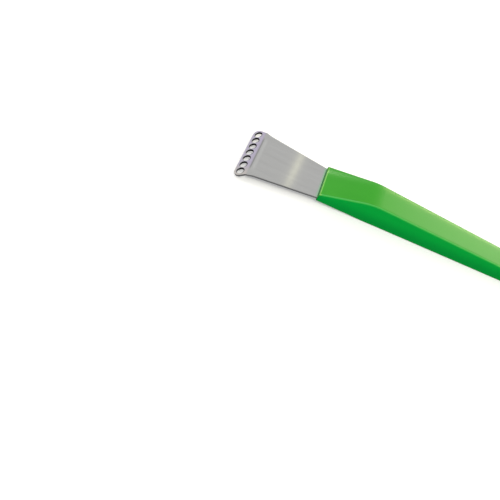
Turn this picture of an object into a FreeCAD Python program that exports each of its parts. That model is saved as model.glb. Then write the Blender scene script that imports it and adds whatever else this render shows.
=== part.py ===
import FreeCAD, Part
import math
import os

import Sketcher

# A citrus zester: a stamped steel blade whose bent, flared end carries a row of sharp-rimmed holes, and
# the faceted plastic handle that is moulded round the blade's tang. It lies on the flat of its handle,
# with the lip of the blade just clear of the table.
#
# Millimetres and degrees. Both pieces are drawn from the middle of the handle's front end, at table
# level: X runs towards the tail, Y across and Z up, so the blade reaches out along -X.

doc = FreeCAD.newDocument("citrus_zester")

SIZES = {
    # Handle from above: its widths at table level, where the drafted sides are widest
    "handle_length": 125.0,
    "front_width": 18.2,
    "crown_width": 15.0,
    "tail_width": 9.9,
    "waist_blend": 10.0,  # the soft turn in each side reaches this far to either side of the crown
    "tail_corner_radius": 4.0,
    "side_draft": 6.3,
    # Handle from the side: the crown is its thickest place, where the front and rear slopes meet
    "crown_at": 21.7,
    "crown_height": 10.9,
    "crown_radius": 24.0,
    "front_height": 5.5,
    "front_lift": 1.5,  # the underside rises this much from the crown to the front end
    "heel_radius": 60.0,
    "tail_height": 5.5,
    "top_edge_radius": 0.85,
    "foot_edge_radius": 0.5,
    # Blade from the side
    "sheet_thickness": 0.9,
    "lip_clearance": 0.13,  # from the table to the lip's low edge
    "crease_at": 31.1,  # from the handle's front end to the crease, where the lip turns down
    "lip_angle": 26.0,
    "crease_inside_radius": 0.9,
    # Blade from above: how far its sides at the neck and the crease are outside the end holes' centres
    "root_inset": 0.1,
    "neck_margin": 0.9,
    "crease_margin": 1.7,
    "flare_length": 2.6,  # from the neck, where the sides turn outwards, to the crease
    "flare_radius": 10.0,
    "lip_corner_radius": 2.4,
    # The row of holes in the lip, and the metal left round them
    "hole_count": 7,
    "hole_diameter": 3.2,
    "hole_web": 0.6,
    "crease_web": 1.85,
    "front_web": 0.8,
    "end_web": 2.1,
    "rim_bevel": 0.15,
    # Tang, hidden in the handle's slot
    "tang_width": 11.0,
    "tang_length": 30.0,
    "slot_clearance": 0.1,
    # The outlines that trim a blank reach this far past it
    "trim": 2.0,
}

sheet = doc.addObject("Spreadsheet::Sheet", "Sizes")
for row, (name, size) in enumerate(SIZES.items(), start=1):
    sheet.set(f"A{row}", name)
    sheet.set(f"B{row}", str(size))
    sheet.setAlias(f"B{row}", name)
doc.recompute()


def value(expression):
    """The number that an expression over the sheet has now."""
    number = sheet.evalExpression(expression)
    return float(getattr(number, "Value", number))


# Sketches


def datum(body, role):
    """One of the body's own origin planes or axes."""
    return next(feature for feature in body.Origin.OriginFeatures if feature.Role == role)


def add_sketch(body, name, role):
    """An empty sketch on one of the body's own origin planes."""
    sketch = body.newObject("Sketcher::SketchObject", name)
    sketch.AttachmentSupport = [(datum(body, role), "")]
    sketch.MapMode = "FlatFace"
    return sketch


def bind(sketch, constraint, expression):
    sketch.setExpression(f"Constraints[{sketch.addConstraint(constraint)}]", expression)


def place(sketch, geometry, end, x, y):
    """Holds one point of a sketch at two expressions, or on an axis where one of them is 0."""
    for kind, axis, expression in (("DistanceX", -2, x), ("DistanceY", -1, y)):
        if expression == "0":
            sketch.addConstraint(Sketcher.Constraint("PointOnObject", geometry, end, axis))
        else:
            held = Sketcher.Constraint(kind, -1, 1, geometry, end, value(expression))
            bind(sketch, held, expression)


def outline(sketch, corners):
    """Draws a closed outline through corners of (x, y, radius), all expressions, where radius 0 is sharp.

    A rounded corner is an arc tangent to both sides, and the corner itself stays as a construction point.
    """
    points = [FreeCAD.Vector(value(x), value(y), 0) for x, y, radius in corners]
    arrivals, departures, headings = [], [], []
    for i, (x, y, radius) in enumerate(corners):
        back = (points[i - 1] - points[i]).normalize()
        ahead = (points[(i + 1) % len(points)] - points[i]).normalize()
        cut = value(radius) / math.tan(back.getAngle(ahead) / 2)
        arrivals.append(points[i] + back * cut)
        departures.append(points[i] + ahead * cut)
        headings.append((back, ahead))
    sides = [
        sketch.addGeometry(Part.LineSegment(departures[i], arrivals[(i + 1) % len(points)]))
        for i in range(len(points))
    ]
    for i, (x, y, radius) in enumerate(corners):
        before, after = sides[i - 1], sides[i]
        if radius == "0":
            sketch.addConstraint(Sketcher.Constraint("Coincident", before, 2, after, 1))
            place(sketch, after, 1, x, y)
            continue
        back, ahead = headings[i]
        half_angle = back.getAngle(ahead) / 2
        centre = points[i] + (back + ahead).normalize() * (value(radius) / math.sin(half_angle))
        turns_left = back.cross(ahead).z < 0
        start = arrivals[i] if turns_left else departures[i]
        start_angle = math.atan2(start.y - centre.y, start.x - centre.x)
        circle = Part.Circle(centre, FreeCAD.Vector(0, 0, 1), value(radius))
        end_angle = start_angle + math.pi - 2 * half_angle
        arc = sketch.addGeometry(Part.ArcOfCircle(circle, start_angle, end_angle))
        entry, leaving = (1, 2) if turns_left else (2, 1)
        sketch.addConstraint(Sketcher.Constraint("Tangent", before, 2, arc, entry))
        sketch.addConstraint(Sketcher.Constraint("Tangent", arc, leaving, after, 1))
        bind(sketch, Sketcher.Constraint("Radius", arc, value(radius)), radius)
        corner = sketch.addGeometry(Part.Point(points[i]), True)
        sketch.addConstraint(Sketcher.Constraint("PointOnObject", corner, 1, before))
        sketch.addConstraint(Sketcher.Constraint("PointOnObject", corner, 1, after))
        place(sketch, corner, 1, x, y)


def mirrored(corners):
    """The same corners on the other side of the X axis, in the order that carries an outline on."""
    return [(x, f"-({y})", radius) for x, y, radius in reversed(corners)]


# Features


def extrude(body, kind, name, sketch, sizes, **choices):
    """A pad or pocket of a sketch, with its sizes as expressions. A pocket has to remove something."""
    before = body.Shape.Volume if body.Tip else 0
    feature = body.newObject(kind, name)
    feature.Profile = sketch
    for choice, setting in choices.items():
        setattr(feature, choice, setting)
    for size, expression in sizes.items():
        feature.setExpression(size, expression)
    doc.recompute()
    if kind == "PartDesign::Pocket" and feature.Shape.Volume >= before:
        raise RuntimeError(f"{name} removes nothing")


def dress(body, kind, name, chosen, sizes):
    """A fillet or bevel on those edges of the body that a test of shape and edge picks."""
    base = body.Tip
    shape = base.Shape
    picked = [f"Edge{i}" for i, edge in enumerate(shape.Edges, start=1) if chosen(shape, edge)]
    feature = body.newObject(kind, name)
    feature.Base = (base, picked)
    for size, expression in sizes.items():
        feature.setExpression(size, expression)
    doc.recompute()


def facing(face):
    """The way a face looks at the middle of its patch."""
    first_u, last_u, first_v, last_v = face.ParameterRange
    return face.normalAt((first_u + last_u) / 2, (first_v + last_v) / 2)


def meeting(shape, edge, first, second):
    """Whether an edge parts a face that passes the first test from one that passes the second."""
    ways = [facing(face) for face in shape.ancestorsOfType(edge, Part.Face)]
    return len(ways) == 2 and any(first(one) and second(other) for one, other in (ways, ways[::-1]))


def up(way):
    return way.z > 0.8


def down(way):
    return way.z < -0.8


def level(way):
    return abs(way.z) < 0.5


# Handle: one solid moulding. Its plan is drawn up with the draft of the mould, the side view is cut
# through that block, and then the edges are rounded, the top ones more broadly than the foot. The front
# corners stay sharp, level with the blade's shoulders.

handle = doc.addObject("PartDesign::Body", "handle")

front_taper = "(Sizes.front_width - Sizes.crown_width) / 2 / Sizes.crown_at"
rear_taper = "(Sizes.crown_width - Sizes.tail_width) / 2 / (Sizes.handle_length - Sizes.crown_at)"
waist_radius = f"Sizes.waist_blend / tan(abs(atan({front_taper}) - atan({rear_taper})) / 2)"
tail_radius = "min(Sizes.tail_corner_radius; 0.45 * Sizes.tail_width)"

handle_plan = add_sketch(handle, "handle_plan", "XY_Plane")
far_side = [
    ("-Sizes.trim", f"Sizes.front_width / 2 + Sizes.trim * {front_taper}", "0"),
    ("Sizes.crown_at", "Sizes.crown_width / 2", waist_radius),
    ("Sizes.handle_length", "Sizes.tail_width / 2", tail_radius),
]
outline(handle_plan, far_side + mirrored(far_side))
extrude(
    handle, "PartDesign::Pad", "handle_block", handle_plan,
    {"Length": "Sizes.crown_height + Sizes.trim"},
)
block = handle.Tip
drafted = handle.newObject("PartDesign::Draft", "handle_draft")
drafted.Base = (
    block,
    [f"Face{i}" for i, face in enumerate(block.Shape.Faces, start=1) if level(facing(face))],
)
drafted.NeutralPlane = (datum(handle, "XY_Plane"), [""])
drafted.setExpression("Angle", "Sizes.side_draft")
doc.recompute()
if drafted.Shape.Volume >= block.Shape.Volume:
    raise RuntimeError("the draft widens the handle")

handle_side = add_sketch(handle, "handle_side", "XZ_Plane")
clear_above = "Sizes.crown_height + 2 * Sizes.trim"
clear_behind = "Sizes.handle_length + Sizes.trim"
clear_ahead = "-2 * Sizes.trim"
outline(handle_side, [
    ("Sizes.handle_length", "0", "0"),
    ("Sizes.crown_at", "0", "Sizes.heel_radius"),
    ("0", "Sizes.front_lift", "0"),
    ("0", "Sizes.front_height", "0"),
    ("Sizes.crown_at", "Sizes.crown_height", "Sizes.crown_radius"),
    ("Sizes.handle_length", "Sizes.tail_height", "0"),
    (clear_behind, "Sizes.tail_height", "0"),
    (clear_behind, clear_above, "0"),
    (clear_ahead, clear_above, "0"),
    (clear_ahead, "-Sizes.trim", "0"),
    ("Sizes.handle_length", "-Sizes.trim", "0"),
])
extrude(
    handle, "PartDesign::Pocket", "handle_facets", handle_side, {},
    Type="ThroughAll", SideType="Symmetric",
)


def is_top_edge(shape, edge):
    return meeting(shape, edge, up, level)


def is_foot_edge(shape, edge):
    return meeting(shape, edge, down, level)


dress(
    handle, "PartDesign::Fillet", "handle_top_edges", is_top_edge,
    {"Radius": "Sizes.top_edge_radius"},
)
dress(
    handle, "PartDesign::Fillet", "handle_foot_edges", is_foot_edge,
    {"Radius": "Sizes.foot_edge_radius"},
)

# The blade's flat upper face stands at the height that holds the lip clear of the table
lip_length = "(Sizes.crease_web + Sizes.hole_diameter + Sizes.front_web)"
lip_drop = f"{lip_length} * sin(Sizes.lip_angle) + Sizes.sheet_thickness * cos(Sizes.lip_angle)"
blade_top = f"(Sizes.lip_clearance + {lip_drop})"

# The slot that the plastic forms round the tang
slot = add_sketch(handle, "tang_slot", "YZ_Plane")
slot_side = [
    ("Sizes.tang_width / 2 + Sizes.slot_clearance", level_of_slot, "0")
    for level_of_slot in (
        f"{blade_top} - Sizes.sheet_thickness - Sizes.slot_clearance",
        f"{blade_top} + Sizes.slot_clearance",
    )
]
outline(slot, slot_side + [(f"-({x})", y, radius) for x, y, radius in reversed(slot_side)])
extrude(
    handle, "PartDesign::Pocket", "handle_slot", slot,
    {"Length": "Sizes.tang_length + Sizes.slot_clearance"}, Reversed=True,
)

# Blade: one piece of steel sheet. The bent sheet is drawn from the side and made as wide as its blank,
# then the flat part is cut to its outline from above, and the lip to its own outline, square to its own
# face.

blade = doc.addObject("PartDesign::Body", "blade")

hole_line = "(Sizes.crease_web + Sizes.hole_diameter / 2)"
hole_pitch = "(Sizes.hole_diameter + Sizes.hole_web)"
half_row = f"((Sizes.hole_count - 1) * {hole_pitch} / 2)"
half_root = f"Sizes.front_width / 2 - {blade_top} * tan(Sizes.side_draft) - Sizes.root_inset"
half_neck = f"{half_row} + Sizes.neck_margin"
half_crease = f"{half_row} + Sizes.crease_margin"
half_lip = f"({half_row} + Sizes.hole_diameter / 2 + Sizes.end_web)"
half_blank = f"{half_lip} + Sizes.trim"
clear_beside = f"{half_lip} + 2 * Sizes.trim"
crease_outside_radius = "(Sizes.crease_inside_radius + Sizes.sheet_thickness)"
crease_reach = f"({crease_outside_radius} * tan(Sizes.lip_angle / 2))"

blank_lip = f"({lip_length} + Sizes.trim)"
lip_tip_x = f"-Sizes.crease_at - {blank_lip} * cos(Sizes.lip_angle)"
lip_tip_z = f"{blade_top} - {blank_lip} * sin(Sizes.lip_angle)"
blade_side = add_sketch(blade, "blade_side", "XZ_Plane")
outline(blade_side, [
    ("Sizes.tang_length", blade_top, "0"),
    ("-Sizes.crease_at", blade_top, crease_outside_radius),
    (lip_tip_x, lip_tip_z, "0"),
    (
        f"{lip_tip_x} + Sizes.sheet_thickness * sin(Sizes.lip_angle)",
        f"{lip_tip_z} - Sizes.sheet_thickness * cos(Sizes.lip_angle)",
        "0",
    ),
    (
        "Sizes.sheet_thickness * tan(Sizes.lip_angle / 2) - Sizes.crease_at",
        f"{blade_top} - Sizes.sheet_thickness",
        "Sizes.crease_inside_radius",
    ),
    ("Sizes.tang_length", f"{blade_top} - Sizes.sheet_thickness", "0"),
])
extrude(
    blade, "PartDesign::Pad", "blade_sheet", blade_side,
    {"Length": f"2 * ({half_blank})"}, SideType="Symmetric",
)

# The flat part: the tang, the shoulders against the handle's front end, the widening sides and the start
# of the flare, which runs straight along X where the sheet bends
blade_plan = add_sketch(blade, "blade_plan", "XY_Plane")
behind_tang = "Sizes.tang_length + Sizes.trim"
offcut = [
    (behind_tang, "Sizes.tang_width / 2", "0"),
    ("0", "Sizes.tang_width / 2", "0"),
    ("0", half_root, "0"),
    ("Sizes.flare_length - Sizes.crease_at", half_neck, "Sizes.flare_radius"),
    (f"{crease_reach} - Sizes.crease_at", half_crease, "0"),
    ("-Sizes.crease_at", half_crease, "0"),
    ("-Sizes.crease_at", clear_beside, "0"),
    (behind_tang, clear_beside, "0"),
]
outline(blade_plan, offcut)
outline(blade_plan, mirrored(offcut))
extrude(
    blade, "PartDesign::Pocket", "blade_outline", blade_plan, {},
    Type="ThroughAll", SideType="Symmetric",
)


def add_lip_sketch(name):
    """A sketch on the lip's upper face: its origin is on the crease and its X runs back up the lip."""
    sketch = add_sketch(blade, name, "XY_Plane")
    turned = FreeCAD.Rotation(FreeCAD.Vector(0, 1, 0), -value("Sizes.lip_angle"))
    sketch.AttachmentOffset = FreeCAD.Placement(FreeCAD.Vector(), turned)
    sketch.setExpression("AttachmentOffset.Base.x", "-Sizes.crease_at")
    sketch.setExpression("AttachmentOffset.Base.z", blade_top)
    sketch.setExpression("AttachmentOffset.Rotation.Angle", "-Sizes.lip_angle")
    doc.recompute()
    return sketch


lip_plan = add_lip_sketch("lip_plan")
lip_side = [
    (f"-{blank_lip} - Sizes.trim", clear_beside, "0"),
    ("0", clear_beside, "0"),
    ("0", half_crease, "0"),
    (f"-{crease_reach}", half_crease, "0"),
    (f"-{lip_length}", half_lip, "Sizes.lip_corner_radius"),
]
outline(lip_plan, lip_side + mirrored(lip_side))
extrude(
    blade, "PartDesign::Pocket", "lip_outline", lip_plan, {},
    Type="ThroughAll", SideType="Symmetric",
)

# The holes: one is cut through the lip and repeated along it, and their upper rims are bevelled
first_hole = add_lip_sketch("first_hole")
hole = first_hole.addGeometry(Part.Circle(
    FreeCAD.Vector(value(f"-{hole_line}"), value(f"-{half_row}"), 0),
    FreeCAD.Vector(0, 0, 1),
    value("Sizes.hole_diameter / 2"),
))
place(first_hole, hole, 3, f"-{hole_line}", f"-{half_row}")
bind(
    first_hole,
    Sketcher.Constraint("Diameter", hole, value("Sizes.hole_diameter")),
    "Sizes.hole_diameter",
)
extrude(
    blade, "PartDesign::Pocket", "hole", first_hole, {},
    Type="ThroughAll", SideType="Symmetric",
)

one_hole = blade.Shape.Volume
row_of_holes = blade.newObject("PartDesign::LinearPattern", "row_of_holes")
row_of_holes.Originals = [doc.getObject("hole")]
row_of_holes.Direction = (datum(blade, "Y_Axis"), [""])
row_of_holes.setExpression("Length", f"2 * {half_row}")
row_of_holes.setExpression("Occurrences", "Sizes.hole_count")
blade.Tip = row_of_holes
doc.recompute()
if blade.Shape.Volume >= one_hole:
    raise RuntimeError("the row of holes is missing")


def is_upper_rim(shape, edge):
    """A whole circle on the lip's upper face, which looks up and forwards."""
    if not edge.isClosed():
        return False
    ways = [facing(face) for face in shape.ancestorsOfType(edge, Part.Face)]
    return any(way.x < -0.1 and way.z > 0.5 for way in ways)


dress(
    blade, "PartDesign::Chamfer", "hole_rims", is_upper_rim,
    {"Size": "Sizes.rim_bevel"},
)

# The finished tool is moved so that its origin is under the middle of its length
for body in (handle, blade):
    body.setExpression(
        "Placement.Base.x",
        f"(Sizes.crease_at + {lip_length} * cos(Sizes.lip_angle) - Sizes.handle_length) / 2",
    )
doc.recompute()

for item in doc.Objects:
    if "Invalid" in item.State or "Error" in item.State:
        raise RuntimeError(f"{item.Name} can't be built: {item.State}")
for body in (handle, blade):
    if body.Shape.isNull() or not body.Shape.isValid() or len(body.Shape.Solids) != 1:
        raise RuntimeError(f"{body.Label} isn't one sound solid")

os.makedirs("parts", exist_ok=True)
for body in (handle, blade):
    body.Shape.exportStep(f"parts/{body.Label}.step")
    box = body.Shape.BoundBox
    print(
        f"{body.Label}: {body.Shape.Volume:.1f} mm3,",
        f"X {box.XMin:.2f} to {box.XMax:.2f}, Y {box.YMin:.2f} to {box.YMax:.2f},",
        f"Z {box.ZMin:.2f} to {box.ZMax:.2f}",
    )
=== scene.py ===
import math

import bmesh
import bpy
from mathutils import Matrix, Vector

# A citrus zester on a pale table: a satin steel blade, bent and pierced at its end, in a green plastic
# handle. Both pieces keep the shape that the frame gives them, and get their finish here. Metres throughout.

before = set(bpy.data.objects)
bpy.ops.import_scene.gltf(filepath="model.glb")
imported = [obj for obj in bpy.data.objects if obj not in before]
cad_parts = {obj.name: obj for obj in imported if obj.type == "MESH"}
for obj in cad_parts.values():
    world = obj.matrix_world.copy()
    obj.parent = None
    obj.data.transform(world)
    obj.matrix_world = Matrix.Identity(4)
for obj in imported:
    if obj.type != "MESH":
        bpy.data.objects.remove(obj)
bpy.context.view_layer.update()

# Blade
# One piece of 0.9 mm stainless sheet, stamped, bent once and pierced with the seven cutting holes. It is
# polished lengthwise to a satin, the holes' rims are ground bright, and the sheared edges are left dull.

HANDLE_FRONT = -0.04432
CREASE = HANDLE_FRONT - 0.0311
BLADE_TOP = 0.0035
LIP_ANGLE = math.radians(26)
HOLE_LINE = 0.00345  # down the lip from the crease
HOLE_PITCH = 0.0038
ROW_END = 3.5 * HOLE_PITCH
RIM_RADIUS = 0.0018
CRESCENT_RADIUS = 0.00175
CRESCENT_SHIFT = 0.0002  # from the middle of a hole up to that of its crescent
GREEN_REFLECTION_REACH = 0.0014  # how far the handle's green shows in the steel


def linear(colour):
    """An sRGB colour such as "8cc63f" as the linear values that a shader takes."""
    channels = [int(colour[i:i + 2], 16) / 255 for i in (0, 2, 4)]
    return [c / 12.92 if c <= 0.04045 else ((c + 0.055) / 1.055) ** 2.4 for c in channels] + [1]


def add_node(material, kind, settings=None, links=None):
    """Adds a node with its settings, and the values and links of its sockets."""
    node = material.node_tree.nodes.new(kind)
    for name, setting in (settings or {}).items():
        if isinstance(name, str) and hasattr(node, name):
            setattr(node, name, setting)
        else:
            node.inputs[name].default_value = setting
    for socket, source in (links or {}).items():
        material.node_tree.links.new(source, node.inputs[socket])
    return node


# Satin stainless steel: a bright grey that mirrors the room softly, drawn out along the polishing lines
steel = bpy.data.materials.new("satin_stainless_steel")
steel.use_nodes = True
steel_shader = steel.node_tree.nodes["Principled BSDF"]
steel_place = add_node(steel, "ShaderNodeTexCoord").outputs["Object"]

# Polishing lines run the length of the blade. Real ones are 0.05 mm apart, too fine to show, so these are
# drawn 0.3 mm apart.
line_place = add_node(
    steel, "ShaderNodeMapping", {"Scale": (1 / 0.03, 1 / 0.0003, 0)}, {"Vector": steel_place}
)
lines = add_node(
    steel, "ShaderNodeTexNoise",
    {"noise_dimensions": "2D", "Scale": 1, "Detail": 3, "Roughness": 0.6},
    {"Vector": line_place.outputs["Vector"]},
)
line_height = add_node(
    steel, "ShaderNodeBump", {"Strength": 0.15, "Distance": 0.00001}, {"Height": lines.outputs["Fac"]}
)

# The belt has left the polish a little uneven, in faint bands of 2 by 30 mm
patch_place = add_node(
    steel, "ShaderNodeMapping", {"Scale": (1 / 0.03, 1 / 0.002, 0)}, {"Vector": steel_place}
)
patches = add_node(
    steel, "ShaderNodeTexNoise",
    {"noise_dimensions": "2D", "Scale": 1, "Detail": 4},
    {"Vector": patch_place.outputs["Vector"]},
)
polish = add_node(
    steel, "ShaderNodeMix",
    {"data_type": "RGBA", 6: linear("d5d5d3"), 7: linear("dfdfdd")},
    {"Factor": patches.outputs["Fac"]},
)

# Painted shade along the crease and a painted highlight just behind it, for what the bend mirrors
steel_at = add_node(steel, "ShaderNodeSeparateXYZ", links={0: steel_place})
aside = add_node(steel, "ShaderNodeMath", {"operation": "ABSOLUTE"}, {0: steel_at.outputs["Y"]})
bend_width = add_node(
    steel, "ShaderNodeMapRange",
    {"interpolation_type": "SMOOTHSTEP", "From Min": 0.0105, "From Max": 0.0075},
    {"Value": aside.outputs[0]},
)
bent = polish.outputs[2]
for line_x, reach, colour, strength in (
    (CREASE + 0.00012, 0.0008, "8e8e90", 0.55),
    (CREASE + 0.0015, 0.0012, "eaeae8", 0.6),
):
    from_line = add_node(
        steel, "ShaderNodeMath", {"operation": "SUBTRACT", 1: line_x}, {0: steel_at.outputs["X"]}
    )
    off_line = add_node(steel, "ShaderNodeMath", {"operation": "ABSOLUTE"}, {0: from_line.outputs[0]})
    on_line = add_node(
        steel, "ShaderNodeMapRange",
        {"interpolation_type": "SMOOTHSTEP", "From Min": reach, "From Max": 0, "To Max": strength},
        {"Value": off_line.outputs[0]},
    )
    share = add_node(
        steel, "ShaderNodeMath",
        {"operation": "MULTIPLY"},
        {0: on_line.outputs[0], 1: bend_width.outputs[0]},
    )
    bent = add_node(
        steel, "ShaderNodeMix",
        {"data_type": "RGBA", 7: linear(colour)},
        {"Factor": share.outputs[0], 6: bent},
    ).outputs[2]

# The lip is painted paler, with a faint lilac cast that fades towards its near end: a painted reflection
along_lip = add_node(
    steel, "ShaderNodeMapRange",
    {"interpolation_type": "SMOOTHSTEP", "From Min": -0.0125, "From Max": -0.0065},
    {"Value": steel_at.outputs["Y"]},
)
lip_painted_reflection = add_node(
    steel, "ShaderNodeMix",
    {"data_type": "RGBA", 6: linear("eae3de"), 7: linear("ddd5ea")},
    {"Factor": along_lip.outputs[0]},
)
lip_share = add_node(
    steel, "ShaderNodeMapRange",
    {"interpolation_type": "SMOOTHSTEP", "From Min": CREASE + 0.0002, "From Max": CREASE - 0.0004},
    {"Value": steel_at.outputs["X"]},
)
bent = add_node(
    steel, "ShaderNodeMix",
    {"data_type": "RGBA"},
    {"Factor": lip_share.outputs[0], 6: bent, 7: lip_painted_reflection.outputs[2]},
).outputs[2]

# The ground rims: a ring round each hole, measured in the plane of the lip
lip_place = add_node(
    steel, "ShaderNodeMapping",
    {
        "vector_type": "TEXTURE",
        "Location": (
            CREASE - HOLE_LINE * math.cos(LIP_ANGLE), 0, BLADE_TOP - HOLE_LINE * math.sin(LIP_ANGLE)
        ),
        "Rotation": (0, -LIP_ANGLE, 0),
    },
    {"Vector": steel_place},
)
on_lip = add_node(steel, "ShaderNodeSeparateXYZ", links={0: lip_place.outputs["Vector"]})
from_hole = add_node(
    steel, "ShaderNodeMath",
    {"operation": "WRAP", 1: HOLE_PITCH / 2, 2: -HOLE_PITCH / 2},
    {0: on_lip.outputs["Y"]},
)
to_hole = add_node(
    steel, "ShaderNodeCombineXYZ", links={"X": on_lip.outputs["X"], "Y": from_hole.outputs[0]}
)
radius = add_node(
    steel, "ShaderNodeVectorMath", {"operation": "LENGTH"}, {0: to_hole.outputs["Vector"]}
)
in_ring = add_node(
    steel, "ShaderNodeMath", {"operation": "LESS_THAN", 1: RIM_RADIUS}, {0: radius.outputs["Value"]}
)
beside = add_node(steel, "ShaderNodeMath", {"operation": "ABSOLUTE"}, {0: on_lip.outputs["Y"]})
in_row = add_node(
    steel, "ShaderNodeMath", {"operation": "LESS_THAN", 1: ROW_END}, {0: beside.outputs[0]}
)
rims = add_node(
    steel, "ShaderNodeMath", {"operation": "MULTIPLY"}, {0: in_ring.outputs[0], 1: in_row.outputs[0]}
)
rimmed = add_node(
    steel, "ShaderNodeMix",
    {"data_type": "RGBA", 7: linear("e4e2e6")},
    {"Factor": rims.outputs[0], 6: bent},
)

# Next to the handle the steel is painted with a little of its green: a painted reflection of the handle
mirrored_green = add_node(
    steel, "ShaderNodeMapRange",
    {
        "interpolation_type": "SMOOTHSTEP",
        "From Min": HANDLE_FRONT - GREEN_REFLECTION_REACH,
        "From Max": HANDLE_FRONT,
    },
    {"Value": steel_at.outputs["X"]},
)
with_green_reflection = add_node(
    steel, "ShaderNodeMix",
    {"data_type": "RGBA", 7: linear("b4ecbc")},
    {"Factor": mirrored_green.outputs[0], 6: rimmed.outputs[2]},
)

# The sheared edges face sideways or forwards, and are darker and duller than the polished faces
face = add_node(steel, "ShaderNodeNewGeometry")
facing = add_node(steel, "ShaderNodeSeparateXYZ", links={0: face.outputs["True Normal"]})
steepness = add_node(steel, "ShaderNodeMath", {"operation": "ABSOLUTE"}, {0: facing.outputs["Z"]})
sheared = add_node(
    steel, "ShaderNodeMath", {"operation": "LESS_THAN", 1: 0.7}, {0: steepness.outputs[0]}
)
edged = add_node(
    steel, "ShaderNodeMix",
    {"data_type": "RGBA", 7: linear("808082")},
    {"Factor": sheared.outputs[0], 6: with_green_reflection.outputs[2]},
)

# The walls of the holes are painted nearly black, as painted shade.
# A crescent of the same painted shade lies along the rim on the upper side of each hole.
walls = add_node(
    steel, "ShaderNodeMath", {"operation": "MULTIPLY"}, {0: sheared.outputs[0], 1: rims.outputs[0]}
)
from_crescent_middle = add_node(
    steel, "ShaderNodeVectorMath",
    {"operation": "DISTANCE", 1: (CRESCENT_SHIFT, 0, 0)},
    {0: to_hole.outputs["Vector"]},
)
in_crescent = add_node(
    steel, "ShaderNodeMath",
    {"operation": "LESS_THAN", 1: CRESCENT_RADIUS},
    {0: from_crescent_middle.outputs["Value"]},
)
crescents = add_node(
    steel, "ShaderNodeMath",
    {"operation": "MULTIPLY"},
    {0: in_crescent.outputs[0], 1: in_row.outputs[0]},
)
dark = add_node(
    steel, "ShaderNodeMath", {"operation": "MAXIMUM"}, {0: walls.outputs[0], 1: crescents.outputs[0]}
)
steel_colour = add_node(
    steel, "ShaderNodeMix",
    {"data_type": "RGBA", 7: linear("0a0a0b")},
    {"Factor": dark.outputs[0], 6: edged.outputs[2]},
)

# Shearing leaves the edges torn and filmed with oxide, so little of the metal's shine shows there
shine = add_node(
    steel, "ShaderNodeMapRange", {"To Min": 1, "To Max": 0.3}, {"Value": sheared.outputs[0]}
)
line_roughness = add_node(
    steel, "ShaderNodeMapRange",
    {"To Min": 0.13, "To Max": 0.19},
    {"Value": lines.outputs["Fac"]},
)
steel_roughness = add_node(
    steel, "ShaderNodeMix",
    {"data_type": "FLOAT", "B": 0.6},
    {"Factor": sheared.outputs[0], "A": line_roughness.outputs[0]},
)
# The polishing lines stretch what the steel mirrors across them
steel_shader.inputs["Anisotropic"].default_value = 0.9
across_lines = add_node(steel, "ShaderNodeCombineXYZ", {"Y": 1})
for socket, source in (
    ("Base Color", steel_colour.outputs[2]),
    ("Metallic", shine.outputs[0]),
    ("Roughness", steel_roughness.outputs[0]),
    ("Normal", line_height.outputs["Normal"]),
    ("Tangent", across_lines.outputs["Vector"]),
):
    steel.node_tree.links.new(source, steel_shader.inputs[socket])

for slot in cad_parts["blade"].material_slots:
    slot.material = steel

# Handle
# One moulding of leaf-green plastic, solid round the tang. The mould gives it a soft gloss, with a fine
# spark-eroded grain, and sides that are drafted so that it leaves the mould.

SUNK = 0.0003
TOP_REACH = 0.0055  # from the middle of the top to where it is sunk that far

plastic = bpy.data.materials.new("moulded_green_plastic")
plastic.use_nodes = True
plastic_shader = plastic.node_tree.nodes["Principled BSDF"]
plastic_place = add_node(plastic, "ShaderNodeTexCoord").outputs["Object"]

# The grain of the mould is 0.25 mm across and a few thousandths deep
grain = add_node(
    plastic, "ShaderNodeTexNoise", {"Scale": 1 / 0.00025, "Detail": 2}, {"Vector": plastic_place}
)
grain_height = add_node(
    plastic, "ShaderNodeBump", {"Strength": 0.2, "Distance": 0.00001}, {"Height": grain.outputs["Fac"]}
)
# The moulding has shrunk where it is thick, so its top has sunk a little towards the far edge, which spreads
# what it mirrors there
plastic_at = add_node(plastic, "ShaderNodeSeparateXYZ", links={0: plastic_place})
far_part = add_node(
    plastic, "ShaderNodeMath", {"operation": "MAXIMUM", 1: 0}, {0: plastic_at.outputs["Y"]}
)
fourth_power = add_node(
    plastic, "ShaderNodeMath", {"operation": "POWER", 1: 4}, {0: far_part.outputs[0]}
)
fall = add_node(
    plastic, "ShaderNodeMath",
    {"operation": "MULTIPLY", 1: -SUNK / TOP_REACH**4},
    {0: fourth_power.outputs[0]},
)
sunk_top = add_node(
    plastic, "ShaderNodeBump",
    {"Strength": 1, "Distance": 1},
    {"Height": fall.outputs[0], "Normal": grain_height.outputs["Normal"]},
)

# The pigment is mixed a little unevenly along the flow of the plastic, in streaks of 6 by 25 mm
flow_place = add_node(
    plastic, "ShaderNodeMapping",
    {"Scale": (1 / 0.025, 1 / 0.006, 1 / 0.006)},
    {"Vector": plastic_place},
)
flow = add_node(
    plastic, "ShaderNodeTexNoise", {"Scale": 1, "Detail": 2}, {"Vector": flow_place.outputs["Vector"]}
)
pigment = add_node(
    plastic, "ShaderNodeMix",
    {"data_type": "RGBA", 6: linear("238f0a"), 7: linear("2a970c")},
    {"Factor": flow.outputs["Fac"]},
)
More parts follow.
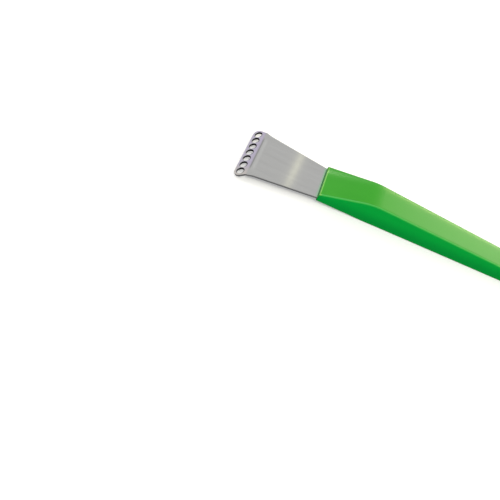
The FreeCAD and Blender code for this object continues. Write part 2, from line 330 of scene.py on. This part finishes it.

# The steep sides are painted a deeper and bluer green than the top, deepest at the foot: painted shade.
low = add_node(
    plastic, "ShaderNodeMapRange",
    {"interpolation_type": "SMOOTHSTEP", "From Min": 0.0075, "From Max": 0.0015},
    {"Value": plastic_at.outputs["Z"]},
)
side_painted_shade = add_node(
    plastic, "ShaderNodeMix",
    {"data_type": "RGBA", 6: linear("009d38"), 7: linear("008b34")},
    {"Factor": low.outputs[0]},
)
face = add_node(plastic, "ShaderNodeNewGeometry")
facing = add_node(plastic, "ShaderNodeSeparateXYZ", links={0: face.outputs["Normal"]})
steep = add_node(
    plastic, "ShaderNodeMapRange",
    {"interpolation_type": "SMOOTHSTEP", "From Min": 0.8, "From Max": 0.2},
    {"Value": facing.outputs["Z"]},
)
sided = add_node(
    plastic, "ShaderNodeMix",
    {"data_type": "RGBA"},
    {"Factor": steep.outputs[0], 6: pigment.outputs[2], 7: side_painted_shade.outputs[2]},
)

# The rounded edges of the top, between 15 and 65 degrees of slope, get a painted highlight.
# The painted highlight is yellower on the far side, and yellowest at the front.
rising = add_node(
    plastic, "ShaderNodeMapRange",
    {"interpolation_type": "SMOOTHSTEP", "From Min": 0.97, "From Max": 0.85},
    {"Value": facing.outputs["Z"]},
)
ending = add_node(
    plastic, "ShaderNodeMapRange",
    {"interpolation_type": "SMOOTHSTEP", "From Min": 0.3, "From Max": 0.6},
    {"Value": facing.outputs["Z"]},
)
edge_share = add_node(
    plastic, "ShaderNodeMath", {"operation": "MULTIPLY"}, {0: rising.outputs[0], 1: ending.outputs[0]}
)
at_front = add_node(
    plastic, "ShaderNodeMapRange",
    {
        "interpolation_type": "SMOOTHSTEP",
        "From Min": HANDLE_FRONT + 0.0013,
        "From Max": HANDLE_FRONT + 0.0006,
    },
    {"Value": plastic_at.outputs["X"]},
)
far_edge = add_node(
    plastic, "ShaderNodeMapRange",
    {"interpolation_type": "SMOOTHSTEP", "From Min": 0.1, "From Max": 0.3},
    {"Value": facing.outputs["Y"]},
)
long_edge_painted_highlight = add_node(
    plastic, "ShaderNodeMix",
    {"data_type": "RGBA", 6: linear("36b03e"), 7: linear("5aa83c")},
    {"Factor": far_edge.outputs[0]},
)
edge_painted_highlight = add_node(
    plastic, "ShaderNodeMix",
    {"data_type": "RGBA", 7: linear("70bc48")},
    {"Factor": at_front.outputs[0], 6: long_edge_painted_highlight.outputs[2]},
)
green = add_node(
    plastic, "ShaderNodeMix",
    {"data_type": "RGBA"},
    {"Factor": edge_share.outputs[0], 6: sided.outputs[2], 7: edge_painted_highlight.outputs[2]},
)

# A dark line is painted where the handle meets the blade, fainter above it: painted shade at the joint
joint_shade = add_node(
    plastic, "ShaderNodeMapRange",
    {"interpolation_type": "SMOOTHSTEP", "From Min": HANDLE_FRONT + 0.0002, "From Max": HANDLE_FRONT},
    {"Value": plastic_at.outputs["X"]},
)
by_blade = add_node(
    plastic, "ShaderNodeMapRange",
    {
        "interpolation_type": "SMOOTHSTEP",
        "From Min": BLADE_TOP + 0.0006,
        "From Max": BLADE_TOP + 0.0002,
        "To Min": 0.6,
    },
    {"Value": plastic_at.outputs["Z"]},
)
line_share = add_node(
    plastic, "ShaderNodeMath",
    {"operation": "MULTIPLY"},
    {0: joint_shade.outputs[0], 1: by_blade.outputs[0]},
)
plastic_colour = add_node(
    plastic, "ShaderNodeMix",
    {"data_type": "RGBA", 7: linear("1a5a10")},
    {"Factor": line_share.outputs[0], 6: green.outputs[2]},
)

# The grain and the flow leave the top a little matt. The long sides slid out along the mould's walls, and are
# glossier.
plastic_roughness = add_node(
    plastic, "ShaderNodeMapRange",
    {"To Min": 0.28, "To Max": 0.38},
    {"Value": flow.outputs["Fac"]},
)
sideways = add_node(plastic, "ShaderNodeMath", {"operation": "ABSOLUTE"}, {0: facing.outputs["Y"]})
long_sides = add_node(
    plastic, "ShaderNodeMapRange",
    {"interpolation_type": "SMOOTHSTEP", "From Min": 0.5, "From Max": 0.95},
    {"Value": sideways.outputs[0]},
)
gloss = add_node(
    plastic, "ShaderNodeMix",
    {"data_type": "FLOAT", "B": 0.12},
    {"Factor": long_sides.outputs[0], "A": plastic_roughness.outputs[0]},
)
plastic_shader.inputs["IOR"].default_value = 1.5

# The painted joint shade also mirrors less than the rest of the moulding
mirroring = add_node(
    plastic, "ShaderNodeMapRange",
    {"To Min": 0.5, "To Max": 0.15},
    {"Value": line_share.outputs[0]},
)

for socket, source in (
    ("Base Color", plastic_colour.outputs[2]),
    ("Roughness", gloss.outputs[0]),
    ("Specular IOR Level", mirroring.outputs[0]),
    ("Normal", sunk_top.outputs["Normal"]),
):
    plastic.node_tree.links.new(source, plastic_shader.inputs[socket])

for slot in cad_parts["handle"].material_slots:
    slot.material = plastic

# Floor
# A sheet of matt white paper, large enough to fill the view from low angles. It is lit a little from below
# too, as on a light table, which keeps the shadows pale.

PAPER_HALF_WIDTH = 3
PAPER_GAP = 0.00003  # keeps it clear of the handle's flat underside

paper = bpy.data.materials.new("matt_white_paper")
paper.use_nodes = True
paper_shader = paper.node_tree.nodes["Principled BSDF"]
paper_shader.inputs["Base Color"].default_value = linear("e2e2e1")
paper_shader.inputs["Emission Color"].default_value = linear("ffffff")
paper_shader.inputs["Emission Strength"].default_value = 0.3
paper_shader.inputs["Roughness"].default_value = 0.9

floor_mesh = bpy.data.meshes.new("floor")
shape = bmesh.new()
bmesh.ops.create_grid(shape, x_segments=1, y_segments=1, size=PAPER_HALF_WIDTH)
bmesh.ops.translate(shape, verts=shape.verts, vec=(0, 0, -PAPER_GAP))
shape.to_mesh(floor_mesh)
shape.free()
floor = bpy.data.objects.new("floor", floor_mesh)
floor.data.materials.append(paper)
floor.visible_glossy = False  # mirrored, it would bleach the handle's steep sides
bpy.context.scene.collection.objects.link(floor)

# Lights
# A pale room that is dark below, so that steep faces mirror nothing bright. Broad softboxes light the handle
# from all round: the one over the tail whitens its rear slope, and the far ones its far edge. The steel
# mirrors the room, and a narrow strip light as the bright band across the blade.

room = bpy.data.worlds.new("pale_room")
room.use_nodes = True
background = room.node_tree.nodes["Background"]
outwards = add_node(room, "ShaderNodeTexCoord")
upwards = add_node(room, "ShaderNodeSeparateXYZ", links={0: outwards.outputs["Generated"]})
horizon = add_node(
    room, "ShaderNodeMapRange", {"From Min": -0.2, "From Max": 0}, {"Value": upwards.outputs["Z"]}
)
walls = add_node(
    room, "ShaderNodeMix",
    {"data_type": "RGBA", 6: linear("1d1d1d"), 7: linear("e8e8e8")},
    {"Factor": horizon.outputs[0]},
)
room.node_tree.links.new(walls.outputs[2], background.inputs["Color"])
background.inputs["Strength"].default_value = 0.743
bpy.context.scene.world = room


def add_softbox(name, place, target, along, size, radiance, colour="ffffff"):
    """Adds an area light that faces a target and is as bright as its face looks in a mirror."""
    width, length = size
    light = bpy.data.lights.new(name, "AREA")
    light.shape = "RECTANGLE"
    light.size, light.size_y = width, length
    light.energy = radiance * math.pi * width * length
    light.color = linear(colour)[:3]
    away = (Vector(place) - Vector(target)).normalized()
    lengthwise = (Vector(along) - away * away.dot(Vector(along))).normalized()
    turned = Matrix((lengthwise.cross(away), lengthwise, away)).transposed()
    softbox = bpy.data.objects.new(name, light)
    softbox.matrix_world = Matrix.Translation(place) @ turned.to_4x4()
    softbox.visible_camera = False
    bpy.context.scene.collection.objects.link(softbox)
    return softbox


# Flags keep the broad softboxes off the steel, which would mirror them as plain white
flagged = bpy.data.collections.new("flagged")
flagged.objects.link(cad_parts["blade"])
flagged.collection_objects[0].light_linking.link_state = "EXCLUDE"

for name, place, target, along, size, radiance, colour in (
    ("tail_softbox", (0.385, 0.375, 0.37), (0.03, 0, 0.01), (0, 1, -0.35), (0.42, 0.38), 2.1, "fffbde"),
    (
        "overhead_softbox", (0.3, -0.17, 0.5), (0.02, -0.008, 0.008), (0.4, 0, -0.14),
        (0.2, 0.42), 3.8, "fffbde",
    ),
    ("left_softbox", (-0.45, 0.05, 0.5), (0, 0, 0), (0, 1, 0), (0.3, 0.3), 2.0, "ffffff"),
    ("near_softbox", (-0.12, -0.25, 0.56), (0, 0, 0), (1, 0, 0), (0.3, 0.3), 2.6, "ffffff"),
    ("far_softbox", (-0.24, 0.56, 0.2), (-0.03, 0, 0.01), (1, 0, 0), (0.12, 0.2), 14.0, "fffae4"),
    ("far_tail_softbox", (0.34, 0.54, 0.2), (0.02, 0, 0.01), (1, 0, 0), (0.12, 0.36), 8.0, "fff0b8"),
):
    softbox = add_softbox(name, place, target, along, size, radiance, colour)
    softbox.light_linking.receiver_collection = flagged

add_softbox("edge_light", (-0.404, 0.34, 0.055), (-0.044, 0, 0.005), (0, 0, 1), (0.3, 0.06), 4.0)
add_softbox(
    "strip_light", (-0.0308, 0.3333, 0.3566), (-0.0575, 0.0008, 0.0035), (0.0054, 0.0647, 0),
    (0.008, 0.063), 0.98, "fffdcf",
)

# Camera
# It looks down on the tool from the near side of the blade, and is turned so that the blade points up to
# the left.

camera_data = bpy.data.cameras.new("camera")
camera_data.lens = 26.18
camera_data.sensor_width = 36
camera_data.clip_start, camera_data.clip_end = 0.005, 20
camera = bpy.data.objects.new("camera", camera_data)
azimuth, elevation, roll = (math.radians(angle) for angle in (-4.08, 60.98, 27.75))
camera.matrix_world = (
    Matrix.Translation((-0.06634, -0.11005, 0.1212))
    @ Matrix.Rotation(azimuth, 4, "Z")
    @ Matrix.Rotation(math.pi / 2 - elevation, 4, "X")
    @ Matrix.Rotation(roll, 4, "Z")
)
bpy.context.scene.collection.objects.link(camera)
bpy.context.scene.camera = camera
bpy.context.scene.view_settings.view_transform = "Standard"
